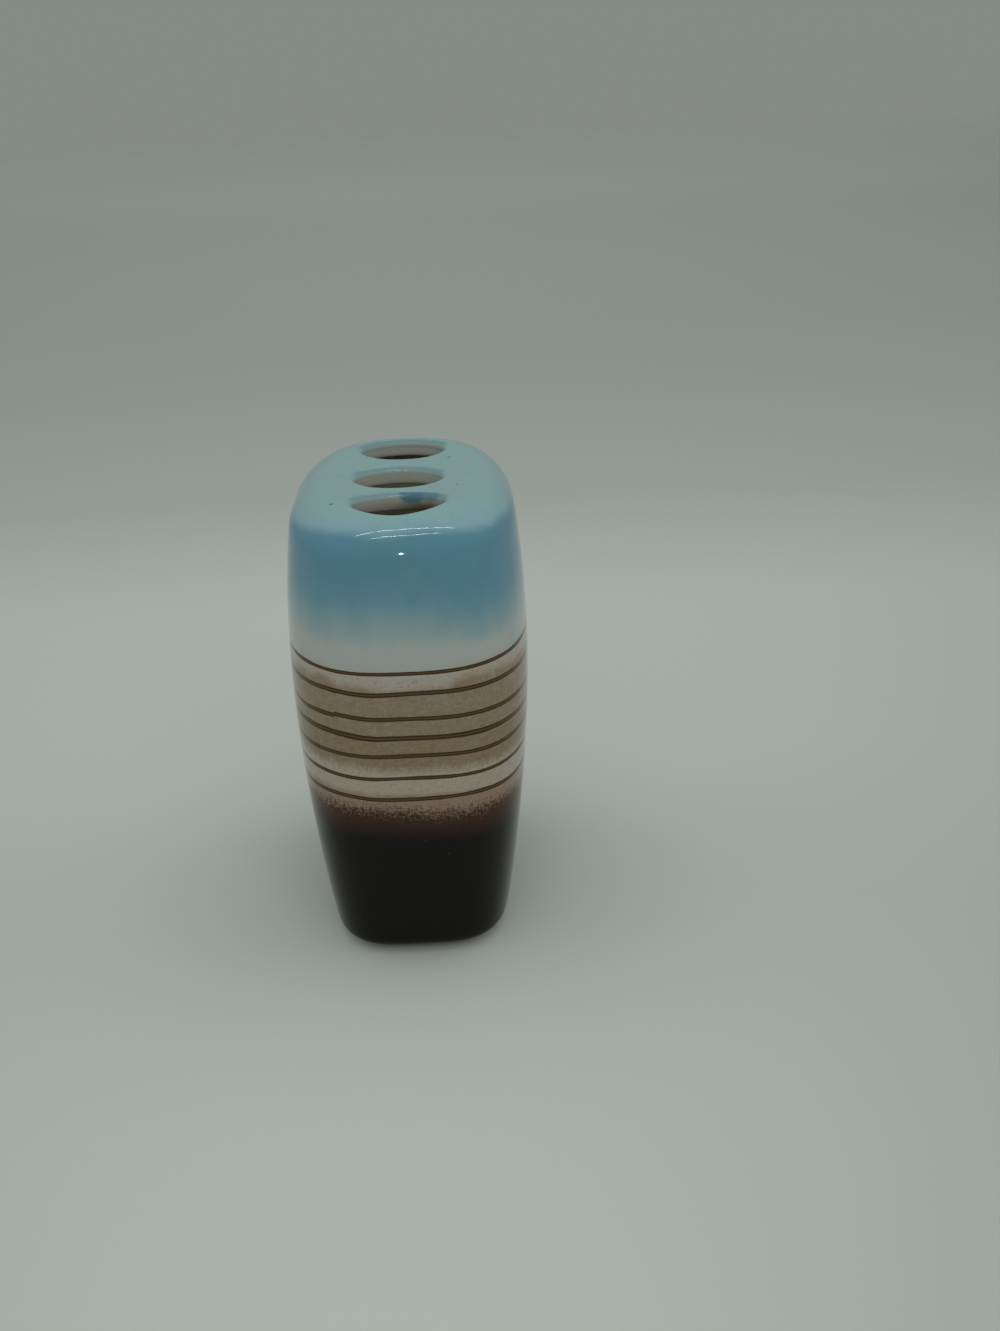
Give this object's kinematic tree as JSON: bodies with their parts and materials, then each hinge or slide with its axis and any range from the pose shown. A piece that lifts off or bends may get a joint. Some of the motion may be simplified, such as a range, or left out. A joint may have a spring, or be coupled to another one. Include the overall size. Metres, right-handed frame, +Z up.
{
  "type": "toothbrush holder",
  "caption": "Free-standing glazed ceramic toothbrush holder: a tall rounded hollow body with oval brush slots in its deck and a rubber drain stopper in its foot.",
  "frame": {"origin": "on the table, under the middle of the holder", "axes": "+Z up, Y along the row of brush slots with -Y the narrow end that faces the viewer, X across the holder"},
  "size_m": [0.0556, 0.092, 0.105],
  "materials": {
    "glaze": "clear gloss glaze over sprayed and banded colours",
    "stopper_rubber": "matt moulded",
    "pad_rubber": "satin"
  },
  "bodies": {
    "holder": {"ceramic_body": "glaze", "pad_front_left": "pad_rubber", "pad_front_right": "pad_rubber", "pad_rear_left": "pad_rubber", "pad_rear_right": "pad_rubber"},
    "stopper": {"drain_stopper": "stopper_rubber"}
  },
  "joints": [
    {"name": "stopper_pull", "type": "slide", "parent": "holder", "child": "stopper", "axis": [0, 0, -1], "range_m": [0, 0.014]}
  ]
}
